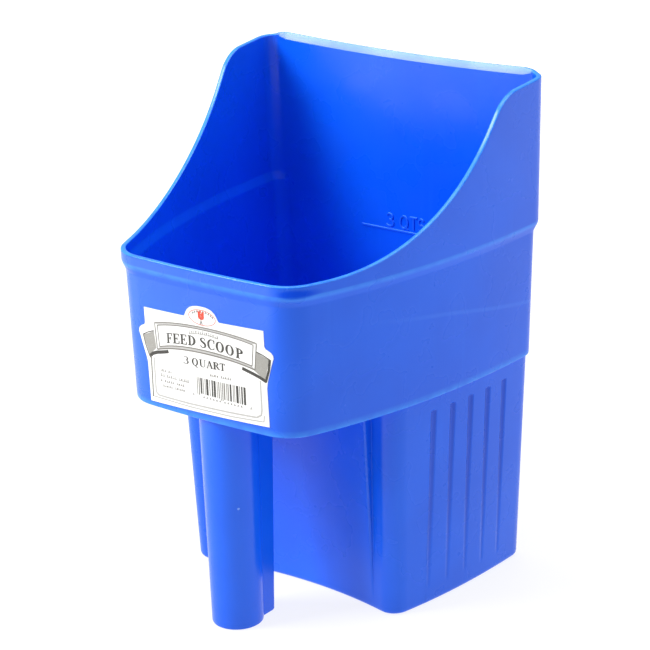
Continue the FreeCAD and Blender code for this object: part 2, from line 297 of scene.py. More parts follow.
def flute_cut(y, z):
    """How deep the flutes are at a point of the side."""
    t = (z - flute_low) / (flute_top - flute_low)
    deep = lerp(flute_depth_low, flute_depth, t)
    ends = (min(1, max(0, (z - flute_low + fade_low[0]) / fade_low[1]))
            * min(1, max(0, (flute_top + fade_top[0] - z) / fade_top[1])))
    best = 0
    for k in range(flute_count):
        u = abs(y - (flute_first + flute_pitch * k + flute_lean * (1 - t)))
        if u < flute_radius:
            g = deep - flute_radius + sqrt(flute_radius ** 2 - u * u)
            best = max(best, 0.5 * (g + sqrt(g * g + flute_smooth)) - flute_sink)
    return best * ends


low_side_start = front_corner(lower(L_under, 0, lower_taper, lower_back_taper), leg_front - leg_lean * z_deck,
                              leg_radius, hollow_depth)[3][1]


# ---- the moulding as one closed skin of rings ----
def bin_level(z, d):
    """Bin outline at z: below the band, on the sloped step, or above it."""
    if z <= z_band:
        return inset(lower(L_band, z_band - z, side_taper, back_taper), d, z)
    if z < base.z:
        t = (z - z_band) / band_rise
        return inset(base, band_step * (1 - t) + d, z)
    return inset(lower(base, -(z - base.z), upper_taper, 0), d, z)


rings = []  # each is an array of (x, y, z, groove, edge) for the right half


# edge: how much lighter the colour is painted there, as wear and as a painted highlight
def add(ring, z, edge=0, grooved=False):
    z = np.full(len(ring), float(z)) if np.isscalar(z) else z
    groove = [flute_cut(y, h) / flute_depth if grooved else 0 for (x, y), h in zip(ring, z)]
    rings.append(np.column_stack([ring, z, groove, np.full(len(ring), edge)]))


# outside, from the foot up
for t in (0, 18, 36, 54, 72):
    d, z = base_round * (1 - sin(rad(t))), base_round * (1 - cos(rad(t)))
    add(low_ring(z, d), z)
FLUTE_FOOT = [2.5, 4, 6, 7.4, 8.6, 9.4, 10.1, 10.9, 11.6, 13]
FLUTE_HEAD = [104.5, 106.6, 107.5, 107.9, 108.3, 108.7, 109, 109.6, 111.5, 113.8, 115.2]
for z in FLUTE_FOOT + list(np.arange(16, 104, 5.5)) + FLUTE_HEAD + [z_deck]:
    add(low_ring(z, 0, flutes=True), z, grooved=True)
under_deck = len(rings) - 1
DECK_TURN = [(0.9, 0), (0.62, 0.07), (0.29, 0.29), (0.09, 0.6), (0, 1)]  # in from the wall, and up
# the rounded deck edge is painted lighter (edge 0.7): wear and a painted highlight
for d, up in DECK_TURN:
    add(bin_ring(bin_level(z_deck + up, d), d), z_deck + up, edge=0.7 if up > 0 else 0)
for z in np.linspace(z_deck + 4, z_band - 3, 12):
    add(bin_ring(bin_level(z, 0), 0), z)
# the sloped step with its soft foot and rounded shoulder: height over its foot, and how far in
STEP = [(-0.9, band_step), (-0.3, band_step - 0.02), (0.1, band_step - 0.09), (0.6, band_step - 0.24),
        (2.3, band_step * 0.5), (3.9, 0.27), (4.5, 0.09), (5.2, 0.01), (6, 0)]
# the rounded shoulder of the step is painted lighter (edge 0.55): wear and a painted highlight
for up, d in STEP:
    z = z_band + up
    add(bin_ring(inset(base, d, z) if z <= base.z else bin_level(z, d), 0), z,
        edge=0.55 if 3.8 < up < 5.5 else 0)

# above the step the rings follow the rim, and each column runs straight up
z_low, z_high, z_in = base.z, height + above_rim, z_band + band_rise + 1
outer_low, inner_low = bin_ring(base, 0), bin_ring(inside(base, z_in), wall)


def ruled_wall(low, high, z_from):
    """A wall between two outlines, as a function of one height per column."""
    return lambda z: lerp(low, high, ((z - z_from) / (z_high - z_from))[:, None])


def rim_over(ruling, low):
    """Height of the rim over each column of such a wall."""
    first = np.array([rim_height(x, y) for x, y in low])
    return np.array([rim_height(x, y) for x, y in ruling(first)])


ruled = ruled_wall(outer_low, bin_ring(L_top, 0), z_low)
ruled_in = ruled_wall(inner_low, bin_ring(inside(L_top, z_high), wall), z_in)
rim_out, rim_in = rim_over(ruled, outer_low), rim_over(ruled_in, inner_low)
z_step = z_band + STEP[-1][0]
for t in (0.12, 0.25, 0.4, 0.55, 0.7, 0.84, 0.94):
    z = z_step + (rim_out - 0.8 - z_step) * t
    add(ruled(z), z)

# the rim: (how far in, how far down), plain and for the bevelled top of the back wall
PLAIN = [(0, 0.75), (0.09, 0.36), (0.3, 0.1), (0.62, 0), (1.25, 0), (1.88, 0), (2.2, 0.1),
         (2.41, 0.34), (2.5, 0.7), (2.5, 1.6)]
BEVEL = [(0, 0.35), (0.05, 0.16), (0.14, 0.05), (0.3, 0), (0.52, 0), (0.68, 0.06), (0.8, 0.26),
         (2.38, 3.42), (2.46, 3.7), (2.5, 4.1)]
bevelled = np.array([min(1, max(0, (bevel_half + bevel_fade - x) / bevel_fade)) if y > bevel_from else 0
                     for x, y in inner_low])
# the top of the rim is painted lighter (edge 0.7): wear and a painted highlight
for (a, b), (c, e) in zip(PLAIN, BEVEL):
    f = lerp(a, c, bevelled) / wall
    z = lerp(rim_out, rim_in, f) - lerp(b, e, bevelled)
    add(lerp(ruled(z), ruled_in(z), f[:, None]), z, edge=0.7 if 0.05 < a < 2.3 else 0)

# inside, from the rim down to the foot of the sloped step
z_start = rings[-1][:, 2]
for t in (0.1, 0.25, 0.42, 0.6, 0.78, 0.93):
    z = z_start + (z_in + 1 - z_start) * t
    add(ruled_in(z), z)
STEP_IN = [(-0.4, 0), (0, 0.06), (0.6, 0.22), (2.3, 0.8), (4, 1.38), (4.6, 1.54), (5.2, 1.6)]  # down, in
for down, d in STEP_IN:
    add(bin_ring(inside(inset(base, d), z_in - down), wall), z_in - down)


def inner_level(z, d=0):
    """Inside of the bin between the deck and the band."""
    t = (z - (z_deck + wall)) / (z_band + 1 - z_deck - wall)
    a, b = inside(L_deck, z, d), inside(L_band, z, d)
    return level(z, *(lerp(p, q, t) for p, q in zip(a[1:], b[1:])))


# the inside of the bin, the turn into its floor, and the inside of the lower body
for z in (182.4, 178, 172, 164, 156, 148, 140, 132, 126, 122, 120.2):
    add(bin_ring(inner_level(z), wall), z)
for d, z in ((0.12, 119.5), (0.38, 118.75), (0.6, z_deck + wall)):
    add(bin_ring(inner_level(z, d), wall), z)
bin_floor = len(rings) - 1
for z in [z_deck + wall, 117.6, 116, 112] + list(np.arange(104, 8, -8)) + [6.5, 5]:
    add(low_ring(z, wall), z)
floor_middle = np.array([0, 30])
for d, z in ((0.25, 4), (0.8, 3), (1.5, 2.55), (2, 2.5)):
    inner = low_ring(z, wall)
    away = inner - floor_middle
    away /= np.hypot(*away.T)[:, None]
    add(inner - away * d, z)


def point(bm, p):
    return bm.verts.new((p[0] * MM, (p[1] + shift_y) * MM, p[2] * MM))


def fill_flat(bm, outer, inner):
    """Fills the flat ring between two loops of vertices at one height."""
    verts = outer + inner
    flat = [Vector((v.co.x / MM, v.co.y / MM)) for v in verts]
    n = len(outer)
    loops = [list(range(n)), list(range(n, n + len(inner)))]
    _, _, faces, origin, _, owners = delaunay_2d_cdt(flat, [], loops, 1, 1e-4)
    for face, own in zip(faces, owners):
        corners = [verts[origin[k][0]] for k in face]
        if list(own) == [0] and len(set(corners)) == 3:
            bm.faces.new(corners)


def close_up(bm, loops, flat_pairs=(), weld=0):
    """Joins each loop of vertices to the next, and caps the first and the last."""
    n = len(loops[0])
    for number, (a, b) in enumerate(zip(loops, loops[1:])):
        if number in flat_pairs:
            fill_flat(bm, *((a, b) if number == max(flat_pairs) else (b, a)))
            continue
        for k in range(n):
            m = (k + 1) % n
            bm.faces.new((a[k], a[m], b[m], b[k]))
    bm.faces.new(loops[0][::-1])
    bm.faces.new(loops[-1])
    if weld:
        bmesh.ops.remove_doubles(bm, verts=bm.verts, dist=weld)
    bmesh.ops.triangulate(bm, faces=[f for f in bm.faces if len(f.verts) > 4])
    bmesh.ops.recalc_face_normals(bm, faces=bm.faces)


def closed_skin(name, halves, material, flat_pairs):
    """Mirrors each half ring and closes the skin; the flat pairs of rings lie at one height."""
    bm = bmesh.new()
    in_groove, edge_wear_sheen = bm.verts.layers.float.new("groove"), bm.verts.layers.float.new("edge")
    loops = []
    for h in halves:
        loops.append([])
        for x, y, z, groove, edge in np.vstack([h, h[-2:0:-1] * (-1, 1, 1, 1, 1)]):
            v = point(bm, (x, y, z))
            v[in_groove], v[edge_wear_sheen] = groove, edge
            loops[-1].append(v)
    close_up(bm, loops, flat_pairs, weld=2e-6)
    return finished(name, bm, material, weighted=True)


def in_scene(name, data):
    o = bpy.data.objects.new(name, data)
    bpy.context.scene.collection.objects.link(o)
    return o


def finished(name, bm, material, sharp=38, weighted=False):
    mesh = bpy.data.meshes.new(name)
    bm.to_mesh(mesh)
    bm.free()
    mesh.polygons.foreach_set("use_smooth", [True] * len(mesh.polygons))
    mesh.set_sharp_from_angle(angle=rad(sharp))
    mesh.materials.append(material)
    o = in_scene(name, mesh)
    if weighted:
        even_out = o.modifiers.new("face_weighted", "WEIGHTED_NORMAL")
        even_out.keep_sharp = True
        even_out.weight = 80
    return o


# ---- materials ----
class Nodes:
    """A small helper that writes node trees."""

    def __init__(self, name, kind="materials", shader="Principled BSDF", place="Object"):
        self.owner = getattr(bpy.data, kind).new(name)
        self.owner.use_nodes = True
        self.tree = self.owner.node_tree
        self.shader = self.tree.nodes[shader]
        self.place = self.add("ShaderNodeTexCoord").outputs[place]

    def fill(self, node, inputs):
        """Wires each input or sets its value."""
        for k, v in dict(inputs).items():
            if hasattr(v, "is_output"):
                self.tree.links.new(v, node.inputs[k])
            else:
                node.inputs[k].default_value = v
        return node

    def add(self, kind, inputs=(), **settings):
        n = self.tree.nodes.new(kind)
        for k, v in settings.items():
            setattr(n, k, v)
        return self.fill(n, inputs)

    def math(self, op, *values):
        return self.add("ShaderNodeMath", enumerate(values), operation=op).outputs[0]

    def plus(self, a, b):
        return self.math("ADD", a, b)

    def minus(self, a, b):
        return self.math("SUBTRACT", a, b)

    def times(self, a, b):
        return self.math("MULTIPLY", a, b)

    def length(self, a, b, root=True):
        """Length of the plan vector (a, b), or its square."""
        square = self.plus(self.times(a, a), self.times(b, b))
        return self.math("SQRT", square) if root else square

    def noise(self, scale, detail=2, rough=0.5, vector=None):
        inputs = {"Vector": self.place if vector is None else vector, "Scale": scale, "Detail": detail}
        return self.add("ShaderNodeTexNoise", {**inputs, "Roughness": rough}).outputs["Fac"]

    def stretched(self, x, y, z):
        return self.add("ShaderNodeMapping", {"Vector": self.place, "Scale": (x, y, z)}).outputs["Vector"]

    def ramp(self, *value_and_ranges):
        inputs = enumerate(value_and_ranges)
        return self.add("ShaderNodeMapRange", inputs, interpolation_type="SMOOTHSTEP").outputs[0]

    def mix(self, fac, a, b):
        return self.add("ShaderNodeMix", {0: fac, 6: a, 7: b}, data_type="RGBA").outputs[2]

    def bump(self, height, strength, distance, **normal):
        inputs = {"Height": height, "Strength": strength, "Distance": distance, **normal}
        return self.add("ShaderNodeBump", inputs).outputs["Normal"]

    def xyz(self, vector=None):
        return self.add("ShaderNodeSeparateXYZ", {0: vector or self.place}).outputs

    def surface(self, colour, rough, normal):
        self.fill(self.shader, {"Base Color": colour, "Roughness": rough, "Normal": normal})
        return self.owner


# colours of the plastic: two that mottle, then where it is worn, on an edge (wear and a painted highlight), in a
# groove (painted shade), under the lip (painted shade), on the flow line, on raised tops (painted highlight) and at
# a nick
BLUE, DEEP = (0.002, 0.124, 0.89, 1), (0.0015, 0.107, 0.81, 1)
WORN, EDGE_WEAR_SHEEN_BLUE = (0.016, 0.185, 0.98, 1), (0.035, 0.29, 1, 1)
GROOVE_SHADE_BLUE, PATCH_SHADE_BLUE = (0.001, 0.046, 0.52, 1), (0.001, 0.05, 0.8, 1)
FLOW_BLUE, TOP_HIGHLIGHT_BLUE, NICK_BLUE = (0.05, 0.24, 1, 1), (0.16, 0.52, 1, 1), (0.25, 0.5, 1, 1)
PLASTIC_IOR = 1.45
STREAK, SCUFF, SCUFF_ROUGH, GROOVE_SHADE, FLOW_PALE = 0.14, 0.06, 0.04, 0.62, 0.26  # how strong each one is
PEEL_BUMP, FLOW_BUMP = (0.022, 0.0006), (0.18, 0.0004)  # strength, height in metres
NICK_AT, NICK_SIZE = (0.01115, -0.07707, 0.06805), (0.0007, 0.0012)  # a pale nick in the grip
# a patch under the lip: its colour is painted darker as painted shade, and it is less specular
PATCH_AT, PATCH_SIZE, PATCH_DULL = (0.0545, 0.1908), (0.0078, 0.0027), 0.65  # x and z, half sizes
# the flow line: where it runs in y and z, and (share of the run, height) along it
FLOW_Y, FLOW_RUN, FLOW_Z, FLOW_SPAN, FLOW_HALF = -0.06, 0.135, 0.14, 0.04, (0.0003, 0.0016)
FLOW_LINE = [(0, 0.1722), (0.065, 0.1686), (0.19, 0.1661), (0.29, 0.1637), (0.53, 0.1586),
             (0.8, 0.1513), (1, 0.1466)]


def dull_and_shaded_patch(n, x, y, z):
    """A dull patch under the lip, at the right front corner, its colour darkened as painted shade."""
    across = n.math("DIVIDE", n.minus(x, PATCH_AT[0]), PATCH_SIZE[0])
    up_down = n.math("DIVIDE", n.minus(z, PATCH_AT[1]), PATCH_SIZE[1])
    off = n.length(across, up_down, root=False)
    return n.times(n.ramp(off, 0.15, 1.2, 0.62, 0), n.ramp(y, -0.066, -0.058, 1, 0))


def flow_line(n, x, y, z):
    """The faint line where two flow fronts met, across the outside of the right wall."""
    run = n.add("ShaderNodeFloatCurve", {"Value": n.math("DIVIDE", n.minus(y, FLOW_Y), FLOW_RUN)})
    curve = run.mapping.curves[0]
    line = [(a, (b - FLOW_Z) / FLOW_SPAN) for a, b in FLOW_LINE]
    curve.points[0].location, curve.points[1].location = line[0], line[-1]
    for a, b in line[1:-1]:
        curve.points.new(a, b)
    run.mapping.update()
    at = n.plus(n.times(run.outputs[0], FLOW_SPAN), FLOW_Z)
    off = n.math("ABSOLUTE", n.minus(z, at))
    on = n.times(n.ramp(off, *FLOW_HALF, 1, 0), n.ramp(x, 0.056, 0.06))
    return n.times(on, n.ramp(y, -0.056, 0.02))


def plastic(name, flow=False, seed=0, gloss=(0.24, 0.33), lit_tops=False, nick=None):
    """Blue polypropylene: satin gloss, faint mottling, orange peel, drag lines and a few dull scuffs."""
    n = Nodes(name)
    x, y, z = n.xyz()
    colour = n.mix(n.ramp(n.noise(14 + seed, 3, 0.55), 0.32, 0.68), DEEP, BLUE)
    streak = n.noise(1, 4, 0.6, n.stretched(210, 210, 9))
    colour = n.mix(n.times(n.ramp(streak, 0.55, 0.8), STREAK), colour, WORN)
    scuff = n.noise(1, 6, 0.75, n.stretched(90, 26, 160))
    scuffed = n.times(n.ramp(scuff, 0.66, 0.8), n.ramp(n.noise(21 + seed), 0.5, 0.62))
    colour = n.mix(n.times(scuffed, SCUFF), colour, WORN)
    rough = n.plus(n.ramp(n.noise(38, 3), 0.3, 0.7, *gloss), n.times(scuffed, SCUFF_ROUGH))
    peel = n.plus(n.noise(420), n.times(n.noise(60), 1.6))
    normal = n.bump(peel, *PEEL_BUMP)
    if nick:
        away = n.add("ShaderNodeVectorMath", {0: n.place, 1: nick}, operation="DISTANCE")
        spot = n.plus(away.outputs["Value"], n.times(n.noise(900), 0.0008))
        colour = n.mix(n.ramp(spot, *NICK_SIZE, 0.75, 0), colour, NICK_BLUE)
    # painted highlight: faces that point up are painted lighter
    if lit_tops:
        up = n.xyz(n.add("ShaderNodeNewGeometry").outputs["True Normal"])[2]
        colour = n.mix(n.ramp(up, 0.2, 0.8, 0.06, 0.9), colour, TOP_HIGHLIGHT_BLUE)
    # besides the flow line, this adds the painted shade in the flutes, edges painted lighter (wear and painted
    # highlight) and the patch under the lip painted darker
    if flow:
        groove, edge = (n.add("ShaderNodeAttribute", attribute_name=a).outputs[2] for a in ("groove", "edge"))
        # painted shade: the flutes are painted darker, more where they are deeper
        colour = n.mix(n.times(n.ramp(groove, 0, 0.6), GROOVE_SHADE), colour, GROOVE_SHADE_BLUE)
        # edges painted lighter, broken up by noise: partly wear, partly a painted highlight
        colour = n.mix(n.times(edge, n.ramp(n.noise(160), 0.25, 0.6, 0.55, 1)), colour, EDGE_WEAR_SHEEN_BLUE)
        # painted shade: the patch under the lip is painted darker and made less specular
        patch = dull_and_shaded_patch(n, x, y, z)
        colour = n.mix(patch, colour, PATCH_SHADE_BLUE)
        n.fill(n.shader, {"Specular IOR Level": n.minus(0.5, n.times(patch, PATCH_DULL))})
        on = flow_line(n, x, y, z)
        colour = n.mix(n.times(on, FLOW_PALE), colour, FLOW_BLUE)
        normal = n.bump(on, *FLOW_BUMP, Normal=normal)
    n.fill(n.shader, {"IOR": PLASTIC_IOR})
    return n.surface(colour, rough, normal)


def ink(name, colour, fade):
    """Printed ink: slightly uneven, on the tooth of the paper."""
    n = Nodes(name)
    paper_white = 0.85
    worn = tuple(c + (paper_white - c) * fade for c in colour[:3]) + (1,)
    grain = n.ramp(n.noise(1500, 3, 0.7), 0.45, 0.75)
    return n.surface(n.mix(grain, colour, worn), n.ramp(n.noise(700), 0.3, 0.7, 0.42, 0.58),
                     n.bump(n.noise(1800), 0.1, 0.0001))


def paper(name):
    n = Nodes(name)
    fibre = n.noise(1, 5, 0.7, n.stretched(900, 900, 260))
    soil = n.noise(60, 3, 0.6)
    colour = n.mix(n.ramp(soil, 0.45, 0.8), (0.9, 0.895, 0.875, 1), (0.8, 0.79, 0.76, 1))
    colour = n.mix(n.times(n.ramp(fibre, 0.5, 0.8), 0.25), colour, (0.96, 0.96, 0.955, 1))
    return n.surface(colour, n.ramp(fibre, 0.3, 0.7, 0.38, 0.5), n.bump(fibre, 0.12, 0.0001))


# the moulded body gets the flow line and the painted shade and highlights
moulded = plastic("moulded_blue", flow=True)
grip_blue = plastic("grip_blue", seed=3, gloss=(0.2, 0.27), nick=NICK_AT)
body = closed_skin("moulded_body", rings, moulded, (under_deck, bin_floor))
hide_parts("scoop_body")
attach(body, "root")


# ---- the handle ----
def grip_loop(t, d_out, d_in):
    """Section of the round shell: outer arc, rounded lip on the seam, inner arc, and back."""
    radius = lerp(grip_radius, grip_radius_top, t)
    r1, r0 = radius - d_out, radius - grip_wall + d_in
    a1, a0 = (asin(min(1, (seam_y - grip_y - lip) / r)) for lip, r in ((0.3, r1), (0.1, r0)))
    x1, x0 = r1 * cos(a1), r0 * cos(a0)
    left = [(-x1 + 0.1, seam_y - 0.08), (-x1 + 0.32, seam_y)]
    left += [(-x1 + 0.32 + (x1 - x0 - 0.42) * k / 3, seam_y) for k in (1, 2, 3)]

    def sweep(r, start, turn, n):
        return [(r * cos(start + turn * k / n), grip_y + r * sin(start + turn * k / n)) for k in range(n + 1)]
    front, hollow = sweep(r1, a1, -(pi + 2 * a1), 56), sweep(r0, pi - a0, pi + 2 * a0, 40)
    return front + left + hollow + [(-x, y) for x, y in reversed(left)]


def spine_loop(t, d_out, d_in):
    """Section of the flat-sided back of the handle, an open channel that closes on the shell."""
    wide, deep = lerp(spine_half, spine_half_top, t), lerp(spine_back, spine_back_top, t)
    half, back = wide - d_out, deep - d_out
    half_in, back_in = wide - grip_wall + d_in, deep - grip_wall + d_in
    r, q = spine_round - 0.5 * d_out, 0.9  # radius outside, and in the corners of the channel
    outer = [(half - 0.25, seam_y), (half - 0.07, seam_y + 0.07), (half, seam_y + 0.25)]
    outer += [(half, seam_y + 0.25 + (back - r - seam_y - 0.25) * k / 6) for k in range(1, 7)]
    turn = [rad(90 * k / 7) for k in range(1, 8)]
    outer += [(half - r + r * cos(a), back - r + r * sin(a)) for a in turn]
    outer += [((half - r) * f, back) for f in (0.66, 0.33)]
    hollow = [(half_in, seam_y), (half_in, back_in - q)]
    hollow += [(half_in - q + q * cos(a), back_in - q + q * sin(a)) for a in (rad(30), rad(60), rad(90))]
    mirrored = [(-x, y) for x, y in outer[::-1] + hollow]
    return outer + [(0, back)] + mirrored + hollow[::-1]


def loft(name, section, material):
    """Joins the closed sections of a piece of the handle, with a rounded lower end."""
    bm = bmesh.new()
    tip = [(0, 1.2, 0.55), (0.09, 0.74, 0.3), (0.35, 0.35, 0.12), (0.74, 0.09, 0.02), (1.2, 0, 0)]
    levels = tip + [(z, 0, 0) for z in np.linspace(3, z_deck, 26)]
    close_up(bm, [[point(bm, (x, y, z)) for x, y in section(z / z_deck, d, e)] for z, d, e in levels])
    return finished(name, bm, material)


grip = loft("grip_shell", grip_loop, grip_blue)
spine = loft("grip_spine", spine_loop, grip_blue)
for piece, node, name in ((grip, "handle_grip", "grip"), (spine, "handle_spine", "spine")):
    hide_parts(node)
    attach(piece, "root")


# ---- things that lie on the walls ----
def front_fit(z):
    """Front of the bin at height z: half width, front y, start of the corner, centre of its arc."""
    lv = bin_level(z, 0)
    face, c, p, q = front_corner(lv, lv.yf, front_radius, -front_bow)
    return np.array([side_x(lv, lv.yf), lv.yf, p[0], c[0], c[1]])


fit_low, fit_high = front_fit(z_deck + 1), front_fit(z_band - 2)


def on_front(x, z, out):
    """Point that far out from the front wall, over the flat or round the corner."""
    t = (z - z_deck - 1) / (z_band - z_deck - 3)
    width, yf, x_flat, cx, cy = lerp(fit_low, fit_high, t)
    if abs(x) < x_flat:
        y, n = yf - front_bow * (1 - (x / width) ** 2), (2 * front_bow * x / width ** 2, -1)
    else:
        side = copysign(1, x)
        y = cy - sqrt(max(front_radius ** 2 - (abs(x) - cx) ** 2, 0))
        n = (side * (abs(x) - cx), y - cy)
    k = out / hypot(*n)
    return x + n[0] * k, y + n[1] * k, z


def on_back(x, z, out):
    """Point that far out from the inside of the back wall."""
    return x, inner_back(z) - out, z


def on_label(x, z, out):
    return on_front(x + label_shift, z, out)


INK_LOW, INK_HIGH = label_thick - 0.06, label_thick + 0.05  # from just under the paper's face
APART = 0.004  # lifts a stroke off another that it crosses
BEND = 1.3  # longest straight piece on a curved wall, mm


def strip(bm, place, a, b, low, high, ring=False):
    """Thin solid between two lines of as many points, from low to high off the wall."""
    rows = [[point(bm, place(u, v, o)) for u, v in line] for line, o in ((a, high), (b, high), (b, low), (a, low))]
    n = len(a)
    for k in range(n if ring else n - 1):
        m = (k + 1) % n
        for r in range(4):
            s = (r + 1) % 4
            bm.faces.new((rows[r][k], rows[s][k], rows[s][m], rows[r][m]))
    if not ring:
        bm.faces.new([rows[r][0] for r in (3, 2, 1, 0)])
        bm.faces.new([rows[r][n - 1] for r in range(4)])


def split_up(points, step):
    """The same line with extra points, so that it can follow a curved wall."""
    out = [points[0]]
    for p, q in zip(points, points[1:]):
        n = max(1, int(ceil(abs(q[0] - p[0]) / step)))
        out += [(p[0] + (q[0] - p[0]) * k / n, p[1] + (q[1] - p[1]) * k / n) for k in range(1, n + 1)]
    return out


def printed(bm, a, b, lift=0, ring=False):
    """A patch of ink between two lines on the label."""
    strip(bm, on_label, a, b, INK_LOW, INK_HIGH + lift, ring)


def even(points, n):
    """n points evenly along the straight line between two."""
    (u0, v0), (u1, v1) = points
    return [(u0 + (u1 - u0) * k / (n - 1), v0 + (v1 - v0) * k / (n - 1)) for k in range(n)]


def sides_of(path, widths):
    """The two sides of a stroke along a path, of one width or of a width at each point."""
    if np.isscalar(widths):
        widths = [widths] * len(path)
    a, b = [], []
    for k, (u, v) in enumerate(path):
        p, q = path[max(k - 1, 0)], path[min(k + 1, len(path) - 1)]
        du, dv = q[0] - p[0], q[1] - p[1]
        s = 0.5 * widths[k] / max(hypot(du, dv), 1e-9)
        a.append((u - dv * s, v + du * s))
        b.append((u + dv * s, v - du * s))
    return a, b


def oval(cu, cv, ru, rv, a0=0, a1=360, n=24):
    return [(cu + ru * cos(rad(a0 + (a1 - a0) * k / n)), cv + rv * sin(rad(a0 + (a1 - a0) * k / n)))
            for k in range(n + 1)]


def line_on(bm, points, wide, lift=0):
    printed(bm, *sides_of(split_up(points, BEND), wide), lift)


# ---- serif letters, one unit high ----
def bowl(cu, cv, ru, rv, iu, ru2, rv2, a0, a1, n=18):
    return oval(cu, cv, ru, rv, a0, a1, n), oval(iu, cv, ru2, rv2, a0, a1, n)


def box(u0, v0, u1, v1):
    return [(u0, v0), (u1, v0)], [(u0, v1), (u1, v1)]


def stem(u=0.08, top=1, wide=0.2, foot=0.085, serif=0.08):
    """Upright with serifs."""
    return [box(u, 0, u + wide, top), box(u - serif, 0, u + wide + serif, foot),
            box(u - serif, top - foot, u + wide + serif, top)]


def tick(u, v0, v1, half=0.045):
    return [(u - half, v0), (u - half, v1)], [(u + half, v0), (u + half, v1)]


def arms(beak):
    return [box(0.25, 0.915, 0.66, 1), tick(0.63, beak, 1), box(0.25, 0.46, 0.46, 0.545), tick(0.46, 0.36, 0.64)]


S_CURVE = [
    (0.45, 0.74, 0.06), (0.43, 0.86, 0.08), (0.36, 0.945, 0.08), (0.26, 0.965, 0.08), (0.15, 0.91, 0.13),
    (0.1, 0.8, 0.15), (0.13, 0.68, 0.17), (0.24, 0.58, 0.19), (0.35, 0.49, 0.2), (0.44, 0.39, 0.18),
    (0.47, 0.26, 0.16), (0.43, 0.13, 0.13), (0.33, 0.045, 0.09), (0.21, 0.03, 0.08), (0.11, 0.1, 0.08),
    (0.06, 0.26, 0.06)]  # u, v and width
R_LEG = [(0.34, 0.5), (0.46, 0.4), (0.58, 0.16), (0.74, 0.03)], [0.1, 0.17, 0.17, 0.09]
Q_TAIL = [(0.34, 0.1), (0.48, -0.02), (0.62, -0.17), (0.84, -0.15)], [0.05, 0.14, 0.13, 0.04]
O_RING = (oval(0.42, 0.5, 0.42, 0.52, n=32), oval(0.42, 0.5, 0.2, 0.445, n=32))

# each letter's width and strokes
LETTERS = {
    "F": (0.67, stem() + arms(0.72)),
    "E": (0.7, stem() + arms(0.74) + [box(0.25, 0, 0.68, 0.085), tick(0.66, 0, 0.28)]),
    "D": (0.78, stem() + [bowl(0.25, 0.5, 0.54, 0.5, 0.25, 0.3, 0.425, -90, 90)]),
    "S": (0.53, [sides_of([p[:2] for p in S_CURVE], [p[2] for p in S_CURVE])]),
    "C": (0.74, [bowl(0.42, 0.5, 0.42, 0.52, 0.47, 0.26, 0.445, 42, 322, 24), tick(0.7, 0.66, 0.99)]),
    "O": (0.84, [O_RING]),
    "Q": (0.84, [O_RING, sides_of(*Q_TAIL)]),
    "P": (0.66, stem() + [bowl(0.25, 0.735, 0.42, 0.265, 0.25, 0.2, 0.185, -90, 90)]),
    "U": (0.7, [box(0.06, 0.32, 0.22, 1), box(-0.02, 0.94, 0.3, 1), box(0.56, 0.32, 0.62, 1),
        box(0.48, 0.94, 0.7, 1), bowl(0.34, 0.32, 0.28, 0.34, 0.39, 0.17, 0.27, 180, 360)]),
    "A": (0.8, [sides_of([(0.1, 0), (0.36, 1)], 0.07), sides_of([(0.36, 1), (0.66, 0)], 0.17),
        box(0.19, 0.3, 0.56, 0.36), box(0, 0, 0.22, 0.05), box(0.5, 0, 0.8, 0.05)]),
    "R": (0.78, stem() + [bowl(0.25, 0.745, 0.38, 0.255, 0.25, 0.2, 0.195, -90, 90), sides_of(*R_LEG)]),
    "T": (0.71, stem(0.27) + [box(0, 0.915, 0.71, 1), tick(0.03, 0.74, 1), tick(0.68, 0.74, 1)]),
    "3": (0.55, [bowl(0.22, 0.755, 0.26, 0.26, 0.2, 0.13, 0.2, -80, 158),
        bowl(0.2, 0.27, 0.33, 0.285, 0.18, 0.18, 0.225, -158, 88)]),
}


def print_word(bm, word, starts, ends, tall, base_at):
    """Sets a word between the given starts and ends, along the line base_at(u)."""
    for ch, u0, u1 in zip(word, starts, ends):
        wide, strokes = LETTERS[ch]
        k = (u1 - u0) / wide
        for n, sides in enumerate(strokes):
            a, b = ([(u0 + u * k, base_at(u0 + u * k) + v * tall) for u, v in line] for line in sides)
            printed(bm, a, b, 0.0006 * n)  # each stroke a hair higher, as strokes cross


# ---- the paper label ----
def turned(u, v):
    c, s = cos(rad(label_turn)), sin(rad(label_turn))
    return u * c - (v - label_middle) * s, label_middle + u * s + (v - label_middle) * c


def paper_outline():
    right = [(0, label_low), (label_half, label_low), (label_half + 0.1, tail_low - 1), (38.6, 143.6),
             (40.3, 149), (41.7, 153.6), (tail_half - 0.15, 156.2), (42.5, 157.6), (41.6, 158.9), (40.1, 159.8),
             (38.5, 160.5), (label_half, 161.8), (label_half, label_high), (11.6, label_high), (10.9, 169.95),
             (10.4, 170.7), (9.8, 172), (8.7, 173.6), (6.9, 175), (4.9, 175.75), (2.5, 176.15), (0, 176.25)]
    outline = right + [(-u, v) for u, v in reversed(right[1:-1])]
    return [turned(u, v) for u, v in split_up(outline + outline[:1], BEND)[:-1]]


def inside_outline(p, loop):
    hit = False
    for (u0, v0), (u1, v1) in zip(loop, loop[1:] + loop[:1]):
        if (v0 > p[1]) != (v1 > p[1]) and p[0] < u0 + (u1 - u0) * (p[1] - v0) / (v1 - v0):
            hit = not hit
    return hit


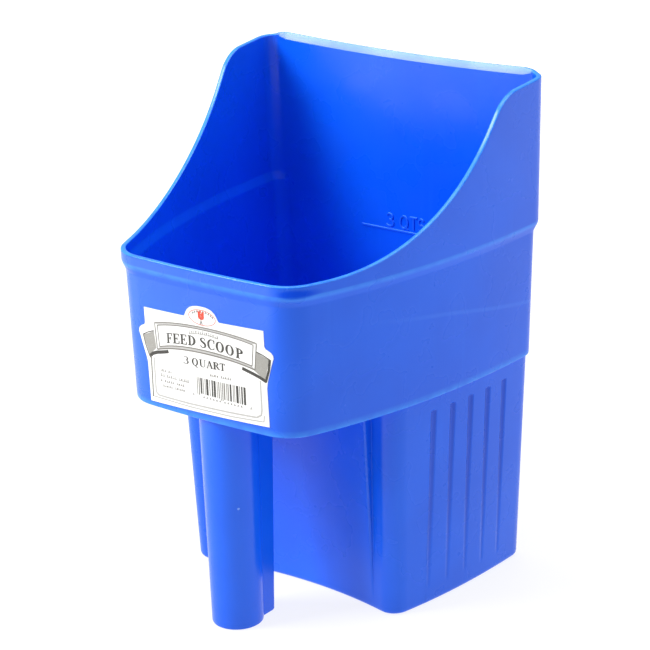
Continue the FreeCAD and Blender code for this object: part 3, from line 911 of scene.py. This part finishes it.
def cut_sheet(name, loop, material, low, high):
    """A sheet of that outline that lies on the front wall."""
    grid = [(u, v) for u in np.arange(-43.5, 43.6, 1.45) for v in np.arange(118.3, 177, 4.9)]
    margin = 0.6  # the grid's points stay this far inside the outline
    near = [(margin, 0), (-margin, 0), (0, margin), (0, -margin)]
    grid = [p for p in grid if all(inside_outline((p[0] + a, p[1] + b), loop) for a, b in near)]
    flat = [Vector(p) for p in loop + grid]
    verts, _, faces, *_ = delaunay_2d_cdt(flat, [], [list(range(len(loop)))], 1, 1e-5)
    bm = bmesh.new()
    top = [point(bm, on_label(v.x, v.y, high)) for v in verts]
    under = [point(bm, on_label(v.x, v.y, low)) for v in verts]
    edges = {edge for f in faces for edge in zip(f, f[1:] + f[:1])}
    for f in faces:
        bm.faces.new([top[k] for k in f])
        bm.faces.new([under[k] for k in reversed(f)])
        for p, q in zip(f, f[1:] + f[:1]):
            if (q, p) not in edges:
                bm.faces.new((top[q], top[p], under[p], under[q]))
    bmesh.ops.delete(bm, geom=[v for v in bm.verts if not v.link_faces], context="VERTS")
    bmesh.ops.recalc_face_normals(bm, faces=bm.faces)
    return finished(name, bm, material, 30)


def put(o, node):
    if node:
        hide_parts(node)
    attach(o, "root")


put(cut_sheet("label_sheet", paper_outline(), paper("label_paper"), 0, label_thick), "label")
dark, mid, fold, pale, red = (bmesh.new() for _ in range(5))


def arched(u0, u1, *heights, n=26):
    """Smooth curve by its heights at u0, at every 10 mm between and at u1."""
    us = [u0, -20, -10, 0, 10, 20, u1]
    fit = np.polyfit(us, heights, 4)
    return [(u, float(np.polyval(fit, u))) for u in np.linspace(u0, u1, n)]


# the banner: two thin frames, one inside the other, and a pale band between them
frame_top = arched(-31.7, 32.9, 161.8, 164, 165.1, 165.5, 165.6, 165.1, 163.6)
frame_low = arched(-30.7, 31.4, 147.8, 150.4, 151.6, 152.1, 152, 151.4, 149.7)
core_top = arched(-29.9, 30.9, 160.7, 162.7, 163.9, 164.3, 164.3, 163.8, 162.4)
core_low = arched(-29.1, 29.8, 149.6, 151.9, 153.2, 153.7, 153.5, 152.8, 151.4)
for line, wide in ((frame_top, 0.5), (frame_low, 0.66), (core_top, 0.48), (core_low, 0.55)):
    line_on(mid, line, wide)
for a, b, wide in ((frame_top, frame_low, 0.58), (core_top, core_low, 0.5)):
    for k in (0, -1):
        line_on(mid, [a[k], b[k]], wide, APART)
for a, b, narrow in ((frame_top, core_top, 0.955), (core_low, frame_low, 1)):
    printed(pale, [(u, v - 0.3) for u, v in a], [(u * narrow, v + 0.3) for u, v in b], -0.02)

# the folded ends of the banner: their grey, then their edges
for top, low, n in (([(32.3, 159.2), (40, 156.4)], [(31, 149.3), (37.2, 145.4)], 7),
                    ([(-40, 153.6), (-32.6, 157)], [(-36.2, 143.8), (-31.4, 148.4)], 9)):
    printed(fold, even(top, n), even(low, n), -0.012)
for bm, wide, points in (
        (dark, 0.5, [(32.2, 159.4), (36.5, 158.2), (40.6, 156.4)]),
        (dark, 1.3, [(40.4, 156.6), (39.6, 151), (37.6, 144.6)]),
        (dark, 1.7, [(23.7, 149.1), (27, 148.3), (31, 147.3), (34.6, 146.2), (38, 144.7)]),
        (dark, 0.48, [(-40.2, 153.8), (-36.6, 155.8), (-32.6, 157.3)]),
        (mid, 0.75, [(-40, 153.8), (-38.6, 148.4), (-36.4, 143.2)]),
        (dark, 1.75, [(-36.5, 142.9), (-34, 145), (-31, 146.2), (-27, 147.2), (-23.2, 148.2)])):
    line_on(bm, points, wide)

# the title and the capacity
print_word(dark, "FEEDSCOOP", (-23.9, -19.7, -14.8, -9.8, -2.2, 2.6, 7.9, 13.9, 20.2),
           (-20.3, -15.5, -10.6, -4.9, 1.8, 7.1, 13, 19, 24.5), 5.3,
           lambda u: 155 - 2.4 * ((u - 3) / 27) ** 2)
print_word(dark, "3QUART", (-13.1, -8, -3.1, 1.4, 5.6, 9.9), (-9.9, -3.9, 1, 5.6, 9.9, 13), 3.9,
           lambda u: 144.3 + 0.045 * (u + 10))

# neutral marks for the small print: from u, to u, at v, height, slope; the first row is arched
MARKS = [(-8.6, 9.3, 161.5, 2, 0.028), (3.4, 17.2, 140.9, 1.25, 0.035), (-29.3, -22, 136.6, 1.3, 0.03),
         (-29.4, -11.2, 133.9, 1.7, 0.02), (-29.4, -14, 131.2, 1.25, 0.02), (-29.3, -12.2, 128.5, 1.25, 0.03)]
MARK_WIDTHS = (0.75, 1.1, 0.55, 1.35, 0.9)
MARK_GAP = 0.42
for n, (u0, u1, v, tall, slope) in enumerate(MARKS):
    u, k = u0, n
    while u < u1:
        wide = MARK_WIDTHS[k % len(MARK_WIDTHS)]
        arch = -0.9 * ((u - 0.4) / 9) ** 2 if n == 0 else 0
        if k % 6 != 5 or n == 0:
            up = tall * (0.8 if k % 3 else 1)
            w = v + arch + slope * (u - u0)
            line_on(mid, [(u, w), (u + wide * 0.45, w + up * 0.5), (u + wide * 0.8, w)], 0.44)
            line_on(mid, [(u + wide * 0.1, w + up * 0.75), (u + wide * 0.75, w + up * 0.8)], 0.42, APART)
        u += wide + MARK_GAP
        k += 1

# bars for a stock code, with longer guards at the ends and in the middle
BAR_WIDTHS = (0.4, 0.55, 0.95, 0.4, 0.35, 1.35, 0.45, 0.85, 1.25, 0.35, 0.6, 0.4, 0.5, 0.7)
BAR_GAPS = (0.7, 0.6, 0.55, 0.85, 0.5, 0.75, 0.95, 0.45, 0.8, 0.6)
bars_from, bars_to, bars_middle, bars_low, bars_high = -5.3, 25.6, 10.2, 130.3, 138.8
u, k = bars_from, 0
while u < bars_to:
    wide = BAR_WIDTHS[k % len(BAR_WIDTHS)]
    longer = 0.9 if k in (0, 1) or u > 24.2 or abs(u - bars_middle) < 0.8 else 0
    low, high = bars_low - longer - 0.012 * u, bars_high + 0.02 * u
    printed(dark if wide > 0.8 else mid, [(u, low), (u, high)], [(u + wide, low), (u + wide, high)])
    u += wide + BAR_GAPS[k % len(BAR_GAPS)]
    k += 1
for k in range(12):
    u = -1.6 + 2.05 * k + (0.9 if k > 5 else 0)
    line_on(mid, [(u, 128.2), (u + 0.42, 129.3), (u + 0.84, 128.2)], 0.34)
    line_on(mid, [(u + 0.05, 128.75), (u + 0.8, 128.8)], 0.3, APART)
for u in (-8.4, 27.7):
    line_on(mid, [(u, 128.4), (u + 0.45, 129.6), (u + 0.9, 128.4)], 0.34)

# the thin frame round the lower part
line_on(mid, [(-35.3, 143.4), (-35.4, 121.6)], 0.75)
line_on(pale, [(-33.4, 143), (-33.3, 124.6), (-31.5, 123.2), (-12, 123.3), (14, 124.1), (31.2, 124.9),
               (34, 126.6), (34.5, 129.4), (34.3, 144.6)], 0.85)
line_on(pale, [(-34.6, 121.9), (-10, 121.7), (16, 122.2), (35.4, 123.4), (35.8, 126.6)], 0.6)

# the oval emblem, an ear of grain
emblem_v = 170.6
printed(red, oval(0, emblem_v, 8.6, 4.05, n=40)[:-1], oval(0, emblem_v, 8.25, 3.72, n=40)[:-1], -0.01, ring=True)
CHEVRON = [(6.9, 2.95, 0, -0.45), (7.2, 3.05, -4, 0.35), (6.9, 2.95, -9, -0.35)]  # radii, turn, rise
for k in range(9):
    a = 152 - 15.5 * k
    line_on(dark, [(ru * cos(rad(a + turn)) + 0.2, emblem_v + 0.1 + rv * sin(rad(a + turn)) + up)
                   for ru, rv, turn, up in CHEVRON], 0.42)
line_on(dark, [(-0.8, 166.9), (-0.6, 168.6), (-0.7, 170.4)], 0.32)
for points in ([(-1.5, 167), (-0.9, 168.4), (-0.75, 169.2)], [(0.5, 167), (-0.3, 168.2), (-0.6, 169)]):
    line_on(mid, points, 0.26, APART)
for k in range(4):
    for s in (-1, 1):
        cu, cv = -0.6 + s * 0.85, 170.3 + 0.85 * k
        printed(red, [(cu - s * 0.95, cv - 0.5), (cu - s * 0.3, cv + 0.35), (cu + s, cv + 1.1)],
                [(cu - s * 0.75, cv - 0.95), (cu + s * 0.75, cv - 0.45), (cu + s * 1.15, cv + 0.8)], 0.001 * k)
printed(red, [(-1.3, 173.1), (-1.15, 173.9), (-0.75, 174.3)], [(-0.2, 173.1), (-0.35, 173.9), (-0.65, 174.3)], 0.006)

INKS = [("ink_dark", dark, (0.034, 0.031, 0.025, 1), 0.06), ("ink_mid", mid, (0.165, 0.155, 0.135, 1), 0.12),
        ("ink_fold", fold, (0.33, 0.32, 0.29, 1), 0.15), ("ink_pale", pale, (0.47, 0.46, 0.44, 1), 0.15),
        ("ink_red", red, (0.72, 0.06, 0.022, 1), 0.08)]
for name, bm, colour, fade in INKS:
    bmesh.ops.recalc_face_normals(bm, faces=bm.faces)
    put(finished(name, bm, ink(name, colour, fade), 30), None)


# ---- the raised line and figures inside the back wall ----
raised = bmesh.new()


def raised_stroke(points, wide, lift=0):
    strip(raised, on_back, *sides_of(points, wide), -mark_root, mark_out + lift)


raised_stroke([(-mark_half, mark_z), (mark_half, mark_z)], mark_height)
figure_low, figure_tall, figure_wide = mark_z + 1.8, 7, 0.85
FIGURES = [
    [oval(-8.1, 0.74, 2, 0.26, 150, -80, 12), oval(-8.1, 0.27, 2.5, 0.27, 88, -152, 14)],  # 3
    [oval(1.4, 0.5, 2.4, 0.5, 0, 360, 24), [(2.1, 0.22), (4, -0.06)]],  # Q
    [[(5.4, 1), (10, 1)], [(7.7, 1), (7.7, 0)]],  # T
    [oval(12.7, 0.745, 1.6, 0.255, 20, 270, 12)[:-1] + oval(12.7, 0.26, 1.75, 0.26, 90, -160, 14)],  # S
]
for strokes in FIGURES:
    for n, path in enumerate(strokes):
        raised_stroke([(u, figure_low + figure_tall * v) for u, v in path], figure_wide, -0.03 * n)
bmesh.ops.recalc_face_normals(raised, faces=raised.faces)
# the raised marks get a painted highlight on their upward faces
put(finished("raised_mark", raised, plastic("raised_blue", lit_tops=True), 30), None)


# ---- camera, floor and light ----
def aim_camera():
    az, el, roll = rad(37.864), rad(20.067), rad(-1.893)
    unit = 1.2139 * MM  # the camera was solved in these units
    half_height, off_right, off_up, distance, raised = 120, 5.361, -5.884, 1054.692, 1.21
    sensor, focal = 36, 2479.895 / 650  # millimetres, and sensor widths
    right = Vector((cos(az), sin(az), 0))
    back = Vector((sin(az) * cos(el), -cos(az) * cos(el), sin(el)))
    up = back.cross(right)
    place = (Vector((0, 0, half_height)) + off_right * right + off_up * up + distance * back) * unit
    place += Vector((0, shift_y, raised)) * MM
    r2 = cos(roll) * right + sin(roll) * up
    u2 = -sin(roll) * right + cos(roll) * up
    data = bpy.data.cameras.new("camera")
    data.sensor_width, data.lens = sensor, focal * sensor
    data.clip_start, data.clip_end = 0.05, 60
    cam = in_scene("camera", data)
    cam.matrix_world = Matrix.Translation(place) @ Matrix((r2, u2, back)).transposed().to_4x4()
    bpy.context.scene.camera = cam


def soft_light(name, place, aim_height, size, power):
    """A square lamp that points at the object."""
    data = bpy.data.lights.new(name, "AREA")
    data.shape = "RECTANGLE"
    data.size = data.size_y = size
    data.energy = power
    lamp = in_scene(name, data)
    lamp.location = place
    lamp.rotation_mode = "QUATERNION"
    lamp.rotation_quaternion = (Vector((0, 0, aim_height)) - Vector(place)).to_track_quat("-Z", "Y")


CAMERA_SIDE = (0.61, -0.79)  # the way from the object to the camera, on the floor
CARD_AT = (-0.45, -0.6)  # the brightest part of the floor, which the front wall mirrors


def make_floor():
    mesh = bpy.data.meshes.new("floor")
    s = 30
    mesh.from_pydata([(-s, -s, 0), (s, -s, 0), (s, s, 0), (-s, s, 0)], [], [(0, 1, 2, 3)])
    n = Nodes("floor_white")
    # a light table, brighter away from the object and dark towards the camera
    x, y, z = n.xyz()
    toward = n.plus(n.times(x, CAMERA_SIDE[0]), n.times(y, CAMERA_SIDE[1]))
    glow = n.times(n.ramp(n.length(x, y), 0.3, 1.1, 0.84, 1.05), n.ramp(toward, 0.26, 0.8, 1, 0.5))
    card = n.length(n.minus(x, CARD_AT[0]), n.minus(y, CARD_AT[1]))
    n.fill(n.shader, {"Base Color": (0.22, 0.22, 0.22, 1), "Roughness": 0.9, "Specular IOR Level": 0.1,
                    "Emission Color": (1, 1, 1, 1),
                    "Emission Strength": n.plus(glow, n.ramp(card, 0.25, 0.5, 1.1, 0))})
    mesh.materials.append(n.owner)
    o = in_scene("floor", mesh)
    o.location.z = -0.0002


def make_world():
    """White walls all round, and the dark open side where the camera stands."""
    n = Nodes("studio", "worlds", "Background", "Generated")
    along = n.add("ShaderNodeVectorMath", {0: n.place, 1: CAMERA_SIDE + (0,)}, operation="DOT_PRODUCT")
    fall = n.add("ShaderNodeMapRange", enumerate((along.outputs["Value"], -0.3, 0.8, 0.46, 0.24)))
    n.fill(n.shader, {"Color": (1, 1, 1, 1), "Strength": fall.outputs[0]})
    bpy.context.scene.world = n.owner


aim_camera()
make_floor()
make_world()
soft_light("key", (-1.2, -1.25, 1.45), 0.14, 1, 53)
soft_light("right_fill", (1.7, 0.5, 0.7), 0.14, 1.2, 7)
soft_light("top", (-0.2, 0.1, 1.7), 0.15, 1.2, 18)
bpy.context.scene.view_settings.view_transform = "Standard"
